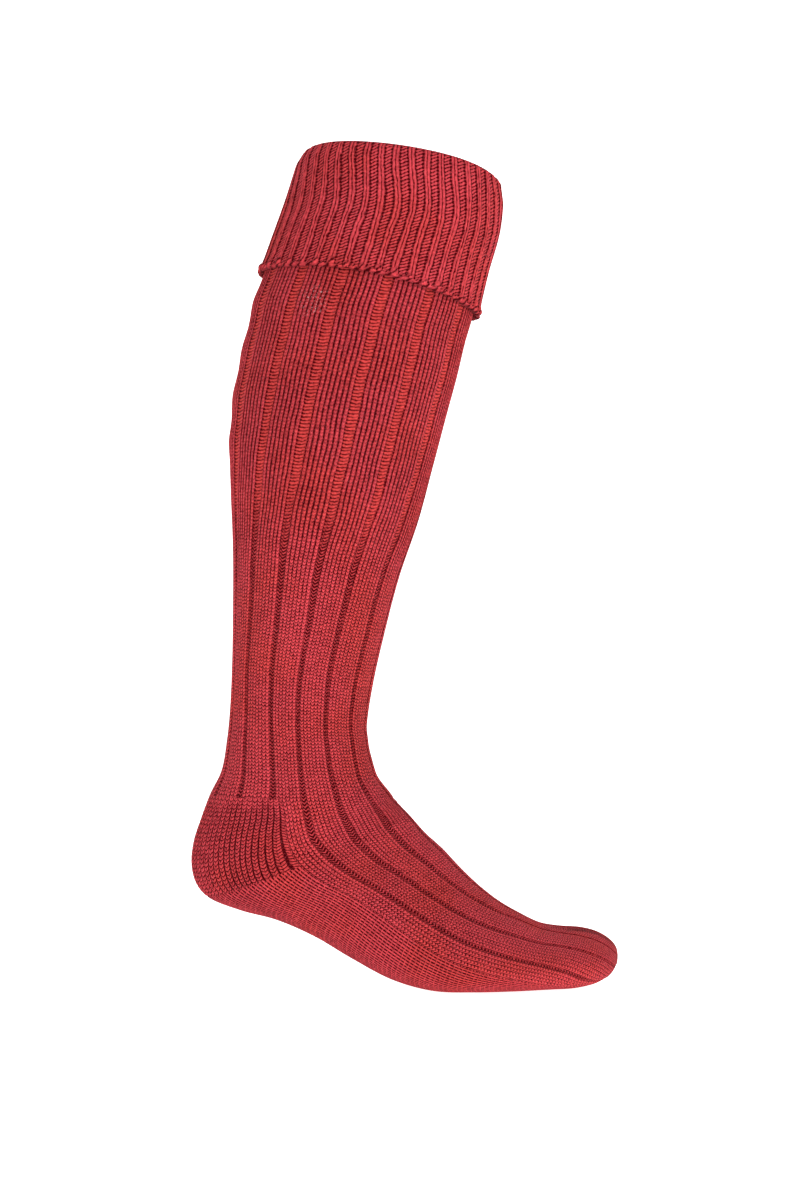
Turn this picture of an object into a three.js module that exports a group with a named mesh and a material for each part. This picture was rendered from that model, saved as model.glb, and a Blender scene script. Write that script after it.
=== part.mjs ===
// A knee-length ribbed sock with a turned-over cuff, in the form it has on a leg with the heel raised.
// Millimetres, +Z up. The toe points to +X and the wearer's outer side is -Y.
// The origin is the centre of the mouth, where the leg goes in.

import * as THREE from "three";

// Leg
const LEG_DROP = 372.5; // from the mouth's centre straight down to the line where the heel begins
const LEG_LEAN = 61; // how far the mouth's centre stands in front of the heel line's centre
const CALF_DEPTH = 124; // front to back at the widest part of the calf
const CALF_WIDTH = 114; // side to side there
const ANKLE_DEPTH = 82; // front to back at the narrowest part
const ANKLE_WIDTH = 69; // side to side there

// Foot
const FOOT_LENGTH = 254; // heel to toe tip, level
const HEEL_LINE_HEIGHT = 114.5; // from the lowest point of the sole up to the heel line
const FOOT_WIDTH = 97; // across the ball of the foot
const TOE_SWING = 14; // how far the toe tip lies to the inner side
const TOE_SLANT = 0.12; // how far the toes reach forward for each step to the inner side
const INNER_RISE = 0.16; // how much higher the inner side of the toes is, as a share of their height

// Fabric
const KNIT_WALL = 2.4; // leg, instep and toe
const CUSHION_WALL = 3.4; // heel and sole, with their looped inside
const CUFF_WALL = 2.6;
const LAYER_GAP = 0.5; // between the cuff and the leg that it lies on
const JOIN_GAP = 0.3; // between pieces that are knitted to each other

// Ribs of the leg and instep: plain panels between sunk bands of reverse stitches
const RIB_COUNT = 14;
const INSTEP_HALF = 4.2; // ribs to each side of the front that run on over the foot
const BAND_WIDTH = 2.6; // a sunk band at the ankle, where the knit is least stretched
const BAND_DEPTH = 1.2; // how far it lies below the panels there
const BAND_GIVE = 0.36; // share of each rib's stretch that its sunk band takes up

// Turned-over cuff and its bound edge
const CUFF_LENGTH = 82; // from the fold down to the bound edge
const CUFF_RETURN = 16; // how far the cuff's inner layer goes down before it meets the leg
const CUFF_RIB_COUNT = 42;
const CUFF_RIB_HEIGHT = 0.8;
const FOLD_RISE = 7; // height over which the fold rounds over
const EDGE_THICKNESS = 3.2; // bound edge, measured away from the leg
const EDGE_HEIGHT = 2.6;
const EDGE_LIFT = 5; // how much higher the edge hangs at the sides than at front and back

// Sampling
const OUTLINE_STEPS = 96; // chords that measure a half section
const PLAIN_COLUMNS = 14; // faces across the heel, the sole and the toe's underside
const ROW_STEP = 0.1; // part of a row over which directions and lengths along the sock are taken
const SHARE_STEP = 1 / 360; // the same around it, as a share of the perimeter

const COLOUR = new THREE.Color(0xa8373d);

// Sections of the leg from the mouth down. down is a section's centre as a share of LEG_DROP, lean
// how far it stands forward as a share of LEG_LEAN, and tilt the degrees that it drops towards the
// front. middle is where round the leg the front rib's middle lies: the ribs wind a little.
const LEG_SECTIONS = [
  { down: 0, lean: 1, tilt: 8.5, depth: 0.946 * CALF_DEPTH, width: 0.925 * CALF_WIDTH, middle: 0.034 },
  { down: 0.078, lean: 0.902, tilt: 8.3, depth: 0.994 * CALF_DEPTH, width: 0.939 * CALF_WIDTH, middle: 0.034 },
  { down: 0.14, lean: 0.783, tilt: 9.6, depth: 1.005 * CALF_DEPTH, width: 0.956 * CALF_WIDTH, middle: 0.034 },
  { down: 0.21, lean: 0.656, tilt: 10.5, depth: 1.027 * CALF_DEPTH, width: 0.978 * CALF_WIDTH, middle: 0.034 },
  { down: 0.253, lean: 0.571, tilt: 9.9, depth: 1.037 * CALF_DEPTH, width: 0.991 * CALF_WIDTH, middle: 0.034 },
  { down: 0.306, lean: 0.495, tilt: 8.8, depth: 1.037 * CALF_DEPTH, width: 1 * CALF_WIDTH, middle: 0.034 },
  { down: 0.367, lean: 0.403, tilt: 9.1, depth: 1.028 * CALF_DEPTH, width: 1 * CALF_WIDTH, middle: 0.033 },
  { down: 0.453, lean: 0.304, tilt: 8.6, depth: 0.989 * CALF_DEPTH, width: 0.978 * CALF_WIDTH, middle: 0.03 },
  { down: 0.54, lean: 0.238, tilt: 9.1, depth: 0.914 * CALF_DEPTH, width: 0.912 * CALF_WIDTH, middle: 0.022 },
  { down: 0.633, lean: 0.154, tilt: 9.2, depth: 0.809 * CALF_DEPTH, width: 0.807 * CALF_WIDTH, middle: 0.012 },
  { down: 0.725, lean: 0.083, tilt: 8.2, depth: 1.114 * ANKLE_DEPTH, width: 1.188 * ANKLE_WIDTH, middle: 0.005 },
  { down: 0.811, lean: 0.02, tilt: 8.1, depth: 1.033 * ANKLE_DEPTH, width: 1.072 * ANKLE_WIDTH, middle: 0.001 },
  { down: 0.879, lean: -0.017, tilt: 5.8, depth: 1.003 * ANKLE_DEPTH, width: 1.007 * ANKLE_WIDTH, middle: 0.006 },
  { down: 0.92, lean: -0.022, tilt: 2.4, depth: 1.035 * ANKLE_DEPTH, width: 1 * ANKLE_WIDTH, middle: 0.009 },
  { down: 0.966, lean: -0.012, tilt: 1.1, depth: 1.129 * ANKLE_DEPTH, width: 1.007 * ANKLE_WIDTH, middle: 0.011 },
];

// Sections of the foot from the heel line to the toe tip. The sole end and the top end of each are
// measured from the rearmost and lowest points of the foot: x as shares of FOOT_LENGTH and z of
// HEEL_LINE_HEIGHT. width is a share of FOOT_WIDTH, waist how far up from the sole the section is
// widest, and topSquare and soleSquare how much fuller than an ellipse its two halves are. middle,
// outer and inner are the places round the section of the front rib and of the instep's two edges.
const FOOT_COLUMNS =
  "soleX soleZ topX topZ width waist topSquare soleSquare middle outer inner".split(" ");
const FOOT_ROWS = [
  [0.044, 1, 0.466, 1, 0.725, 0.5, 2.05, 2, 0.012, 0.288, 0.312],
  [0.022, 0.87, 0.48, 0.961, 0.725, 0.5, 2.05, 2.05, 0.018, 0.277, 0.302],
  [0.005, 0.751, 0.487, 0.943, 0.72, 0.5, 2.05, 2.1, 0.024, 0.267, 0.296],
  [0, 0.637, 0.494, 0.925, 0.715, 0.49, 2.05, 2.15, 0.026, 0.26, 0.291],
  [0.011, 0.538, 0.502, 0.907, 0.715, 0.48, 2.05, 2.2, 0.023, 0.255, 0.288],
  [0.038, 0.468, 0.513, 0.881, 0.725, 0.47, 2.05, 2.25, 0.018, 0.253, 0.286],
  [0.112, 0.403, 0.547, 0.795, 0.745, 0.45, 2.05, 2.35, 0.009, 0.254, 0.285],
  [0.197, 0.356, 0.589, 0.709, 0.775, 0.42, 2.05, 2.45, 0.004, 0.254, 0.285],
  [0.286, 0.273, 0.63, 0.611, 0.82, 0.4, 2.05, 2.5, 0.006, 0.25, 0.285],
  [0.372, 0.164, 0.672, 0.52, 0.875, 0.38, 2.05, 2.55, 0.016, 0.244, 0.285],
  [0.465, 0.059, 0.723, 0.429, 0.935, 0.38, 2.1, 2.6, 0.038, 0.243, 0.285],
  [0.558, 0.005, 0.775, 0.359, 0.985, 0.4, 2.1, 2.6, 0.07, 0.245, 0.287],
  [0.651, 0, 0.826, 0.301, 1, 0.42, 2.15, 2.6, 0.09, 0.249, 0.29],
  [0.745, 0.003, 0.874, 0.278, 0.985, 0.44, 2.2, 2.6, 0.1, 0.255, 0.295],
  [0.827, 0.005, 0.917, 0.268, 0.935, 0.46, 2.25, 2.5, 0.1, 0.264, 0.3],
  [0.89, 0.005, 0.951, 0.249, 0.855, 0.47, 2.2, 2.4, 0.09, 0.285, 0.31],
  [0.939, 0.018, 0.976, 0.221, 0.73, 0.48, 2.1, 2.3, 0.09, 0.295, 0.31],
  [0.972, 0.042, 0.994, 0.187, 0.58, 0.48, 2.05, 2.2, 0.09, 0.295, 0.31],
  [0.99, 0.07, 1.002, 0.158, 0.42, 0.49, 2, 2.1, 0.09, 0.295, 0.31],
  [1.002, 0.104, 1.005, 0.127, 0.26, 0.5, 2, 2, 0.09, 0.295, 0.31],
];
const FOOT_SECTIONS = FOOT_ROWS.map((row) =>
  Object.fromEntries(row.map((value, i) => [FOOT_COLUMNS[i], value])),
);

// Rows of the joined list of sections, counted from the mouth
const HEEL_ROW = LEG_SECTIONS.length; // the leg ends and the heel and instep begin
const MITRE_ROW = HEEL_ROW + 5; // the heel ends and the sole begins
const TOE_ROW = HEEL_ROW + 14; // the instep and the sole end and the toe begins
const TIP_ROW = HEEL_ROW + FOOT_SECTIONS.length - 1;
const INNER_TIP_ROW = TIP_ROW - 2; // where the hollow of the toe ends

const halfGap = JOIN_GAP / 2;
const heelLineZ = -LEG_DROP;
const groundZ = heelLineZ - HEEL_LINE_HEIGHT;
const heelLine = FOOT_SECTIONS[0];
const heelLineMiddle = (heelLine.soleX + heelLine.topX) / 2;
const heelX = -LEG_LEAN - heelLineMiddle * FOOT_LENGTH; // the rearmost point of the foot

function legEnds({ down, lean, tilt, depth }) {
  const centre = new THREE.Vector3((lean - 1) * LEG_LEAN, 0, -down * LEG_DROP);
  const angle = THREE.MathUtils.degToRad(tilt);
  const half = new THREE.Vector3(Math.cos(angle), 0, -Math.sin(angle)).multiplyScalar(depth / 2);
  return { back: centre.clone().sub(half), front: centre.clone().add(half) };
}

function footEnds({ soleX, soleZ, topX, topZ }) {
  const place = (x, z) =>
    new THREE.Vector3(heelX + x * FOOT_LENGTH, 0, groundZ + z * HEEL_LINE_HEIGHT);
  return { back: place(soleX, soleZ), front: place(topX, topZ) };
}

// How far along the foot a section lies, from 0 at the mitre to 1 at the tip
function footShare(index) {
  const first = MITRE_ROW - HEEL_ROW;
  return Math.max(0, index - first) / (FOOT_SECTIONS.length - 1 - first);
}

// On the leg all ribs are equally wide. The vector's parts are the places round the section of the
// instep's outer edge, of the front rib's middle and of the instep's inner edge.
function evenRibs(middle) {
  const reach = INSTEP_HALF / RIB_COUNT;
  return new THREE.Vector3(middle - reach, middle, middle + reach);
}

const SECTIONS = [
  ...LEG_SECTIONS.map((row) => ({
    ...legEnds(row),
    half: new THREE.Vector3(row.width / 2, 0.5, 0),
    square: new THREE.Vector3(2, 2, 0),
    ribs: evenRibs(row.middle),
  })),
  ...FOOT_SECTIONS.map((row, index) => ({
    ...footEnds(row),
    half: new THREE.Vector3((row.width * FOOT_WIDTH) / 2, row.waist, 0),
    square: new THREE.Vector3(row.topSquare, row.soleSquare, footShare(index) ** 2),
    ribs: new THREE.Vector3(-row.outer, row.middle, row.inner),
  })),
];

const curveThrough = (key) =>
  new THREE.CatmullRomCurve3(SECTIONS.map((section) => section[key]), false, "centripetal");
const backCurve = curveThrough("back");
const frontCurve = curveThrough("front");
const halfCurve = curveThrough("half");
const squareCurve = curveThrough("square");
const ribCurve = curveThrough("ribs");

// The section at a row, which may lie between two of the list
const sectionCache = new Map();
function sectionAt(row) {
  if (sectionCache.has(row)) return sectionCache.get(row);
  const curves = [backCurve, frontCurve, halfCurve, squareCurve, ribCurve];
  const [back, front, half, square, ribs] = curves.map((curve) => curve.getPoint(row / TIP_ROW));
  const depth = back.distanceTo(front);
  const section = {
    back,
    front,
    depth,
    along: front.clone().sub(back).divideScalar(depth),
    halfWidth: half.x,
    waist: half.y,
    topSquare: square.x,
    soleSquare: square.y,
    inward: square.z, // how far the foot has turned to its inner side, from 0 to 1 at the tip
    ribs,
  };
  section.normal = new THREE.Vector3(-section.along.z, 0, section.along.x); // faces back up the sock
  section.turns = evenTurns(section);
  sectionCache.set(row, section);
  return section;
}

// A point of a section's outline, at an angle from its front or top end towards +Y
function outlineAt(section, turn) {
  const forward = Math.cos(turn);
  const sideways = Math.sin(turn);
  const power = 2 / (forward >= 0 ? section.topSquare : section.soleSquare);
  const reach = (forward >= 0 ? 1 - section.waist : section.waist) * section.depth;
  const level = section.waist * section.depth + reach * Math.sign(forward) * Math.abs(forward) ** power;
  const side = Math.sign(sideways) * Math.abs(sideways) ** power;
  const raised = level * (1 + INNER_RISE * section.inward * side);
  return section.back
    .clone()
    .addScaledVector(section.along, raised)
    .addScaledVector(new THREE.Vector3(TOE_SLANT * section.inward, 1, 0), section.halfWidth * side)
    .add(new THREE.Vector3(0, TOE_SWING * section.inward, 0));
}

// Angles that cut a half outline into stretches of equal length, so that stitches are evenly wide
function evenTurns(section) {
  const flat = { ...section, inward: 0 };
  const turns = Array.from({ length: OUTLINE_STEPS + 1 }, (_, i) => (Math.PI * i) / OUTLINE_STEPS);
  const points = turns.map((turn) => outlineAt(flat, turn));
  const lengths = [0];
  for (let i = 1; i <= OUTLINE_STEPS; i++) {
    lengths.push(lengths[i - 1] + points[i].distanceTo(points[i - 1]));
  }
  const whole = lengths[OUTLINE_STEPS];
  section.perimeter = 2 * whole;
  const found = [];
  for (let i = 0, k = 0; i <= OUTLINE_STEPS; i++) {
    const wanted = (whole * i) / OUTLINE_STEPS;
    while (k < OUTLINE_STEPS - 1 && lengths[k + 1] < wanted) k++;
    const part = (wanted - lengths[k]) / (lengths[k + 1] - lengths[k]);
    found.push(THREE.MathUtils.lerp(turns[k], turns[k + 1], THREE.MathUtils.clamp(part, 0, 1)));
  }
  return found;
}

// The sock's outer surface. share goes round the section: 0 at the front or top, 0.5 at the back
// or sole, positive towards +Y.
function surfaceAt(row, share) {
  const section = sectionAt(row);
  const round = share - Math.round(share);
  const place = Math.abs(round) * 2 * OUTLINE_STEPS;
  const k = Math.min(Math.floor(place), OUTLINE_STEPS - 1);
  const turn = THREE.MathUtils.lerp(section.turns[k], section.turns[k + 1], place - k);
  return outlineAt(section, round < 0 ? -turn : turn);
}

// A point at a height above that surface, in the section's plane, so that rims are flat
function raisedAt(row, share, height) {
  const point = surfaceAt(row, share);
  const around = surfaceAt(row, share + SHARE_STEP).sub(surfaceAt(row, share - SHARE_STEP));
  const after = THREE.MathUtils.clamp(row + ROW_STEP / 2, ROW_STEP, TIP_ROW);
  const along = surfaceAt(after, share).sub(surfaceAt(after - ROW_STEP, share));
  const outward = along.cross(around).normalize();
  const { normal } = sectionAt(row);
  outward.addScaledVector(normal, -outward.dot(normal)).normalize();
  return point.addScaledVector(outward, height);
}

// Ribs

const ankle = sectionAt(LEG_SECTIONS.length - 3);

function bandWidth(section) {
  return BAND_WIDTH + (Math.max(0, section.perimeter - ankle.perimeter) / RIB_COUNT) * BAND_GIVE;
}

// Where a rib lies round a section. Ribs are numbered from the front, minus on the outer side.
function ribPlace(section, rib) {
  const { x: outer, y: middle, z: inner } = section.ribs;
  return middle + (rib / INSTEP_HALF) * (rib < 0 ? middle - outer : inner - middle);
}

// Columns of one rib, from the middle of its panel to just before the middle of the next panel.
// side is where a column lies on the sunk band between them, and sunk whether it is at its bottom.
const RIB_COLUMNS = [
  { middle: true },
  { side: -0.62, sunk: 0 },
  { side: -0.38, sunk: 1 },
  { side: 0.38, sunk: 1 },
  { side: 0.62, sunk: 0 },
];

// Columns across some ribs. Each gives its share round the section and its height at a row.
function ribColumns(first, count, fade = () => 1) {
  const columns = [];
  for (let rib = first; rib < first + count; rib++)
    for (const { middle, side, sunk } of RIB_COLUMNS)
      columns.push((row) => {
        const section = sectionAt(row);
        if (middle) return { share: ribPlace(section, rib), height: 0 };
        const width = bandWidth(section);
        return {
          share: ribPlace(section, rib + 0.5) + (side * width) / section.perimeter,
          height: -sunk * BAND_DEPTH * (BAND_WIDTH / width) * fade(row),
        };
      });
  return columns;
}

const ribLine = (rib) => (row) => ({ share: ribPlace(sectionAt(row), rib), height: 0 });

// Columns over the instep, from its outer edge to just before its inner edge
function instepColumns(fade) {
  const first = -Math.floor(INSTEP_HALF);
  return [ribLine(-INSTEP_HALF), ...ribColumns(first, -2 * first, fade), ribLine(-first)];
}

// Columns over the heel or the sole, from the instep's inner edge to just before its outer edge
const undersideColumns = Array.from({ length: PLAIN_COLUMNS }, (_, i) => (row) => {
  const { ribs } = sectionAt(row);
  return { share: THREE.MathUtils.lerp(ribs.z, ribs.x + 1, i / PLAIN_COLUMNS), height: 0 };
});

// Surfaces

// A closed mesh, built from rows of points
class Skin {
  positions = [];
  indices = [];

  add(row) {
    const first = this.positions.length / 3;
    for (const { x, y, z } of row) this.positions.push(x, y, z);
    return row.map((_, i) => first + i);
  }

  // Faces between two rows of vertex numbers. They face out if the rows run from the front towards
  // +Y and b lies further down the sock than a.
  strip(a, b, closed) {
    const last = closed ? a.length : a.length - 1;
    for (let i = 0; i < last; i++) {
      const j = (i + 1) % a.length;
      this.indices.push(a[i], b[j], a[j], a[i], b[i], b[j]);
    }
  }

  fan(row, centre) {
    for (let i = 0; i < row.length; i++) this.indices.push(row[(i + 1) % row.length], row[i], centre);
  }

  geometry() {
    const geometry = new THREE.BufferGeometry();
    geometry.setAttribute("position", new THREE.Float32BufferAttribute(this.positions, 3));
    geometry.setIndex(this.indices);
    geometry.computeVertexNormals();
    return geometry;
  }
}

// One layer of fabric: rows of points along the sock, with columns across it. ends shifts its first
// and its last row down the sock, and edges moves its side columns inwards, to leave joining gaps.
function gridOf(rows, columns, heightOf, ends, edges) {
  return rows.map((row, i) => {
    const shift = i === 0 ? ends[0] : i === rows.length - 1 ? ends[1] : 0;
    const { normal } = sectionAt(row);
    return columns.map((column, j) => {
      const { share, height } = column(row);
      const inset = edges && j === 0 ? edges : edges && j === columns.length - 1 ? -edges : 0;
      const moved = share + inset / sectionAt(row).perimeter;
      return raisedAt(row, moved, heightOf(height, j)).addScaledVector(normal, -shift);
    });
  });
}

// A tube open at both ends
function tubeGeometry(rows, columns, wall, ends) {
  const skin = new Skin();
  const outer = gridOf(rows, columns, (height) => height, ends).map((row) => skin.add(row));
  const inner = gridOf(rows, columns, () => -wall, ends).map((row) => skin.add(row));
  const loop = [...outer, ...inner.reverse()];
  loop.forEach((row, i) => skin.strip(row, loop[(i + 1) % loop.length], true));
  return skin.geometry();
}

// A patch with four edges. It is as thick as KNIT_WALL where it meets the next piece at the sides.
function patchGeometry(rows, columns, wall, ends) {
  const skin = new Skin();
  const atSide = (j) => j === 0 || j === columns.length - 1;
  const depth = (height, j) => (atSide(j) ? -KNIT_WALL : -wall);
  const outer = gridOf(rows, columns, (height) => height, ends, halfGap).map((row) => skin.add(row));
  const inner = gridOf(rows, columns, depth, ends, halfGap).map((row) => skin.add(row).reverse());
  outer.forEach((row, i) => {
    const ring = [...row, ...inner[i]];
    if (i > 0) skin.strip([...outer[i - 1], ...inner[i - 1]], ring, true);
  });
  const cap = (i, flip) => {
    const back = [...inner[i]].reverse();
    skin.strip(...(flip ? [outer[i], back] : [back, outer[i]]), false);
  };
  cap(0, false);
  cap(rows.length - 1, true);
  return skin.geometry();
}

// A tube that closes at its far end
function pocketGeometry(outerRows, innerRows, columns, wall, start) {
  const skin = new Skin();
  const ends = [start, 0];
  const middleOf = (row) => {
    const { back, front, inward } = sectionAt(row);
    return back.clone().lerp(front, 0.5).add(new THREE.Vector3(0, TOE_SWING * inward, 0));
  };
  const outer = gridOf(outerRows, columns, (height) => height, ends).map((row) => skin.add(row));
  const inner = gridOf(innerRows, columns, () => -wall, ends).map((row) => skin.add(row));
  const loop = [...[...inner].reverse(), ...outer];
  for (let i = 1; i < loop.length; i++) skin.strip(loop[i - 1], loop[i], true);
  const [outerEnd] = skin.add([middleOf(outerRows.at(-1))]);
  const [innerEnd] = skin.add([middleOf(innerRows.at(-1))]);
  skin.fan(outer.at(-1), outerEnd);
  skin.fan([...inner.at(-1)].reverse(), innerEnd);
  return skin.geometry();
}

const rowsBetween = (from, to, step = 1) => {
  const count = Math.round((to - from) / step);
  return Array.from({ length: count + 1 }, (_, i) => THREE.MathUtils.lerp(from, to, i / count));
};

// Row at a distance down the leg from the mouth
function rowBelowMouth(distance) {
  const centre = (row) => sectionAt(row).back.clone().lerp(sectionAt(row).front, 0.5);
  let row = 0;
  let left = distance;
  for (;;) {
    const length = centre(row + ROW_STEP).distanceTo(centre(row));
    if (length >= left) return row + (ROW_STEP * left) / length;
    left -= length;
    row += ROW_STEP;
  }
}

// Pieces

const material = () => new THREE.MeshStandardMaterial({ color: COLOUR, roughness: 0.95, metalness: 0 });

function piece(name, geometry) {
  const mesh = new THREE.Mesh(geometry, material());
  mesh.name = name;
  return mesh;
}

function leg() {
  const top = rowBelowMouth(CUFF_RETURN);
  const rows = [top, ...rowsBetween(Math.ceil(top) + 1, HEEL_ROW)];
  const columns = ribColumns(-RIB_COUNT / 2, RIB_COUNT);
  return piece("leg", tubeGeometry(rows, columns, KNIT_WALL, [halfGap, -halfGap]));
}

function instep() {
  const columns = [...instepColumns(), ribLine(INSTEP_HALF)];
  const rows = rowsBetween(HEEL_ROW, TOE_ROW);
  return piece("instep", patchGeometry(rows, columns, KNIT_WALL, [halfGap, -halfGap]));
}

function underside(name, firstRow, lastRow) {
  const last = (row) => ({ share: sectionAt(row).ribs.x + 1, height: 0 });
  const columns = [...undersideColumns, last];
  const rows = rowsBetween(firstRow, lastRow);
  return piece(name, patchGeometry(rows, columns, CUSHION_WALL, [halfGap, -halfGap]));
}

function toe() {
  const ribbed = INNER_TIP_ROW - TOE_ROW;
  const fade = (row) => THREE.MathUtils.clamp((INNER_TIP_ROW - row) / ribbed, 0, 1);
  const columns = [...instepColumns(fade), ...undersideColumns];
  const outer = rowsBetween(TOE_ROW, TIP_ROW);
  const inner = rowsBetween(TOE_ROW, INNER_TIP_ROW, 1.5);
  return piece("toe", pocketGeometry(outer, inner, columns, KNIT_WALL, halfGap));
}

// A ring around the leg from a closed profile. Each profile point is { down, height, rib, hang }:
// its distance below the fold, its height above the leg, and how much of the cuff's ribs and of
// the edge's lift it takes.
function ringGeometry(profile, columnCount) {
  const skin = new Skin();
  const rows = profile.map(({ down, height, rib, hang }) =>
    skin.add(
      Array.from({ length: columnCount }, (_, i) => {
        const share = i / columnCount;
        const lift = EDGE_LIFT * hang * Math.sin(2 * Math.PI * share) ** 2;
        const crest = i % 2 === 0 ? CUFF_RIB_HEIGHT * rib : 0;
        return raisedAt(rowBelowMouth(down - lift), share, height + crest);
      }),
    ),
  );
  rows.forEach((row, i) => skin.strip(row, rows[(i + 1) % rows.length], true));
  return skin.geometry();
}

function cuffProfile() {
  const outside = LAYER_GAP + CUFF_WALL - CUFF_RIB_HEIGHT;
  const middle = (outside - KNIT_WALL) / 2; // of the fold
  const outer = (down, inset, rib, hang) => ({ down, height: outside - inset, rib, hang });
  const inner = (down, height, hang = 0) => ({ down, height, rib: 0, hang });
  const hemDown = CUFF_LENGTH - EDGE_HEIGHT - JOIN_GAP;
  const slitTop = CUFF_WALL; // as far below the fold as the cuff is thick
  return [
    inner(CUFF_RETURN - halfGap, 0),
    inner(CUFF_RETURN - halfGap, -KNIT_WALL),
    inner(FOLD_RISE, -KNIT_WALL),
    inner(0, middle - KNIT_WALL * 0.35),
    outer(0, KNIT_WALL * 0.9, 0.3, 0),
    outer(FOLD_RISE * 0.3, KNIT_WALL * 0.25, 0.8, 0),
    outer(FOLD_RISE, 0, 1, 0),
    outer(CUFF_LENGTH * 0.5, 0, 1, 0.5),
    outer(hemDown, 0, 1, 1),
    inner(hemDown, LAYER_GAP, 1),
    inner(CUFF_LENGTH * 0.5, LAYER_GAP, 0.5),
    inner(CUFF_RETURN, LAYER_GAP),
    inner(slitTop, LAYER_GAP),
    inner(slitTop, 0),
  ];
}

function cuff() {
  return piece("cuff", ringGeometry(cuffProfile(), 2 * CUFF_RIB_COUNT));
}

function boundEdge() {
  const sides = 5;
  const profile = Array.from({ length: sides }, (_, i) => {
    const turn = (2 * Math.PI * (i + 0.5)) / sides;
    return {
      down: CUFF_LENGTH - (EDGE_HEIGHT / 2) * (1 + Math.sin(turn)),
      height: LAYER_GAP + (EDGE_THICKNESS / 2) * (1 - Math.cos(turn) / Math.cos(Math.PI / sides)),
      rib: 0,
      hang: 1,
    };
  });
  return piece("bound_edge", ringGeometry(profile, 2 * CUFF_RIB_COUNT));
}

const sock = new THREE.Group();
sock.add(
  cuff(),
  boundEdge(),
  leg(),
  instep(),
  underside("heel", HEEL_ROW, MITRE_ROW),
  underside("sole", MITRE_ROW, TOE_ROW),
  toe(),
);

export default sock;
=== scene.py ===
"""A worn ribbed knee sock with a turned-over cuff: its knitting, built over the CAD form."""

import math

import bpy
import numpy as np
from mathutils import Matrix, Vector


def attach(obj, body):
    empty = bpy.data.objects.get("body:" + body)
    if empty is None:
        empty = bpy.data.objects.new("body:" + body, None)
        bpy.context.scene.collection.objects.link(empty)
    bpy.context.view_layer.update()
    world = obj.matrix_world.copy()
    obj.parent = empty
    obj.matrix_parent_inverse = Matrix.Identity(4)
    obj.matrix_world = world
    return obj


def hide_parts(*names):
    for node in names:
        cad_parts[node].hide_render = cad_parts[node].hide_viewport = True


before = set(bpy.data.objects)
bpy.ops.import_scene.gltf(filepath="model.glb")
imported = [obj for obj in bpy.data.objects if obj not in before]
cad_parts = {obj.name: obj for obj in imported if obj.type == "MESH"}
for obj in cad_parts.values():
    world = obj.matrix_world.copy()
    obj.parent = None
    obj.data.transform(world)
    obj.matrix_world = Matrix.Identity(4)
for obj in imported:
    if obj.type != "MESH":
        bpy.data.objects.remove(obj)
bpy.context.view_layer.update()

# Sizes in millimetres, as in the part's source

LEG_DROP = 372.5
LEG_LEAN = 61
CALF_DEPTH = 124
CALF_WIDTH = 114
ANKLE_DEPTH = 82
ANKLE_WIDTH = 69
FOOT_LENGTH = 254
HEEL_LINE_HEIGHT = 114.5
FOOT_WIDTH = 97
TOE_SWING = 14
TOE_SLANT = 0.12
INNER_RISE = 0.16
KNIT_WALL = 2.4
CUSHION_WALL = 3.4
CUFF_WALL = 2.6
LAYER_GAP = 0.5
BAND_WIDTH = 2.6
BAND_DEPTH = 1.9
BAND_GIVE = 0.36
CUFF_LENGTH = 82
CUFF_RETURN = 16
CUFF_RIBS = 42
FOLD_RISE = 7
EDGE_THICKNESS = 3.2
EDGE_HEIGHT = 2.6
EDGE_LIFT = 5

RIBS = 14
WALES = 9  # stitches across one rib, two of them the purl band
STEPS = 4  # mesh columns to one stitch
INSTEP_HALF = 4.2  # ribs from the middle of the instep to its edge
COURSE = 1.95  # height of one row of stitches
HEEL_ROW = 15
MITRE_ROW = 20
TOE_ROW = 29
TIP_ROW = 34
HEEL_BRAIDS = 36
HEEL_STITCH = 2.5
CORD_HALF = 0.115  # of a cuff rib's width
CORD_RISE = 0.72
FAN_LINES = 7
FAN_SIDES = 12
CUFF_ROUND = 380
EDGE_LINKS = 66
SOLE_LINES = 66
SOLE_STITCH = 3.2
SOLE_RIDGE = 0.15
INSIDE_LINES = 150  # lines of reverse stitches round the inside
CLOSED_RIB = 18.5  # width of a rib that isn't pulled open, and of one that is
OPEN_RIB = 25.5
# Creases across the front, as how far down they lie and how deep they are
ANKLE_CREASES = ((338, 0.35), (352, 0.3), (371, 0.6))
INSTEP_CREASES = ((6, 0.5), (13, 0.35))

# Sections down the leg: down, lean, tilt, depth, width, middle
LEG = [
    (0, 1, 8.5, 0.946, 0.925, 0.034),
    (0.078, 0.902, 8.3, 0.994, 0.939, 0.034),
    (0.14, 0.783, 9.6, 1.005, 0.956, 0.034),
    (0.21, 0.656, 10.5, 1.027, 0.978, 0.034),
    (0.253, 0.571, 9.9, 1.037, 0.991, 0.034),
    (0.306, 0.495, 8.8, 1.037, 1, 0.034),
    (0.367, 0.403, 9.1, 1.028, 1, 0.033),
    (0.453, 0.304, 8.6, 0.989, 0.978, 0.03),
    (0.54, 0.238, 9.1, 0.914, 0.912, 0.022),
    (0.633, 0.154, 9.2, 0.809, 0.807, 0.012),
]
LOW_LEG = [  # depth and width as shares of the ankle's
    (0.725, 0.083, 8.2, 1.114, 1.188, 0.005),
    (0.811, 0.02, 8.1, 1.033, 1.072, 0.001),
    (0.879, -0.017, 5.8, 1.003, 1.007, 0.006),
    (0.92, -0.022, 2.4, 1.035, 1, 0.009),
    (0.966, -0.012, 1.1, 1.129, 1.007, 0.011),
]
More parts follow.
